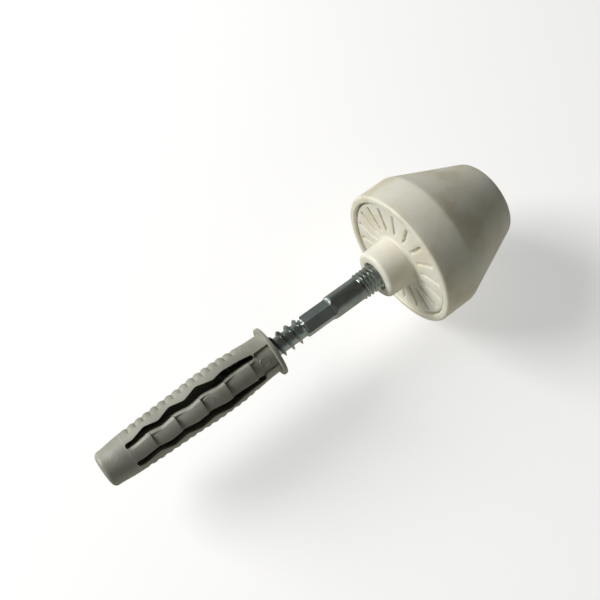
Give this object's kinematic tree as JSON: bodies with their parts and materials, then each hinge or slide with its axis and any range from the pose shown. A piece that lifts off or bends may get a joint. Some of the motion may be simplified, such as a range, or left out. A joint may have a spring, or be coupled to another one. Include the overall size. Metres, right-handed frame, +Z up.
{
  "type": "wall anchor",
  "caption": "Wall anchor with a slotted nylon expansion plug, a hanger bolt with a wood thread and a machine thread, and a conical screw-on cap with a bearing disc.",
  "frame": {"origin": "on the anchor's axis, in the plane of the wall's face, which is the outer face of the plug's collar", "axes": "+X along the anchor's axis out of the wall, +Z up"},
  "size_m": [0.1307, 0.0426, 0.0426],
  "materials": {
    "grey_nylon": "moulded grey nylon, satin",
    "zinc_steel": "bright zinc plating over rolled steel",
    "white_plastic": "moulded warm white plastic, satin",
    "ivory_plastic": "moulded ivory plastic, fine satin grain",
    "nut_steel": "bright zinc plating"
  },
  "bodies": {
    "plug": {"expansion_plug": "grey_nylon"},
    "bolt": {"hanger_bolt": "zinc_steel"},
    "disc": {"insert_disc": "white_plastic"},
    "cap": {"cone_cap": "ivory_plastic", "captive_nut": "nut_steel"}
  },
  "joints": [
    {"name": "bolt_drive", "type": "slide", "parent": "plug", "child": "bolt", "axis": [1, 0, 0], "range_m": [-0.0095, 0.015]},
    {"name": "cap_travel", "type": "slide", "parent": "bolt", "child": "disc", "axis": [1, 0, 0], "range_m": [-0.01375, 0.00625]},
    {"name": "cap_turn", "type": "hinge", "parent": "disc", "child": "cap", "pos_m": [0.06, 0, 0], "axis": [1, 0, 0], "range_deg": [-3960, 1800]}
  ],
  "couplings": [
    {"joint": "cap_travel", "follows": "cap_turn", "m_per_rad": 0.00019894}
  ]
}
